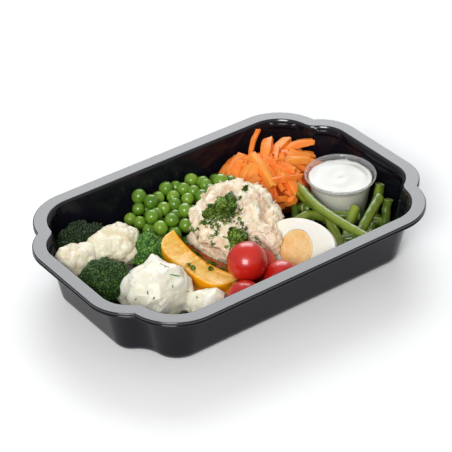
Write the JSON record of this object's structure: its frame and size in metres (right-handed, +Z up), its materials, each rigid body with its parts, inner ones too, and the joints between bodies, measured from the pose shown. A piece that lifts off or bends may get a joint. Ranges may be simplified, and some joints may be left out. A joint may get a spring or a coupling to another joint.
{
  "type": "packed tray meal",
  "caption": "Cold meal in a black plastic tray: tuna salad, peas, carrots, beans, florets, egg, peach and a dip cup.",
  "frame": {"origin": "centre of the tray's outline, on the underside of its floor", "axes": "+X along the tray towards the dip cup, +Y across it towards the peas and carrots, +Z up"},
  "size_m": [0.24, 0.1568, 0.0481],
  "materials": {
    "black_plastic": "glossy formed sheet",
    "clear_plastic": "clear thin cup",
    "white_sauce": "smooth creamy sauce",
    "tomato_skin": "shiny red skin",
    "egg_white": "smooth boiled egg white",
    "egg_yolk": "crumbly boiled yolk",
    "peach": "wet peach flesh and skin",
    "broccoli": "fine dark buds",
    "cauliflower": "fine pale curds",
    "potato_salad": "mashed and creamy, with herbs",
    "tuna_salad": "fibrous moist flakes",
    "parsley": "fresh curly leaves",
    "peas": "moist pea skins",
    "carrots": "moist cut carrot",
    "green_beans": "moist bean pods"
  },
  "bodies": {
    "root": {"tray": "black_plastic", "dip_cup": "clear_plastic", "dip_sauce": "white_sauce", "tomato_top": "tomato_skin", "tomato_behind": "tomato_skin", "tomato_right": "tomato_skin", "tomato_left": "tomato_skin", "egg_white": "egg_white", "egg_yolk": "egg_yolk", "peach_wedge": "peach", "peach_slice_back": "peach", "peach_slice_front": "peach", "parsley_top": "parsley", "parsley_front": "parsley", "broccoli_side": "broccoli", "cauliflower_right": "cauliflower", "cauliflower_left": "cauliflower", "broccoli_front": "broccoli", "broccoli_back": "broccoli", "potato_salad": "potato_salad", "tuna_salad": "tuna_salad", "peas": "peas", "carrots": "carrots", "green_bean_long": "green_beans", "green_beans": "green_beans"}
  },
  "joints": []
}
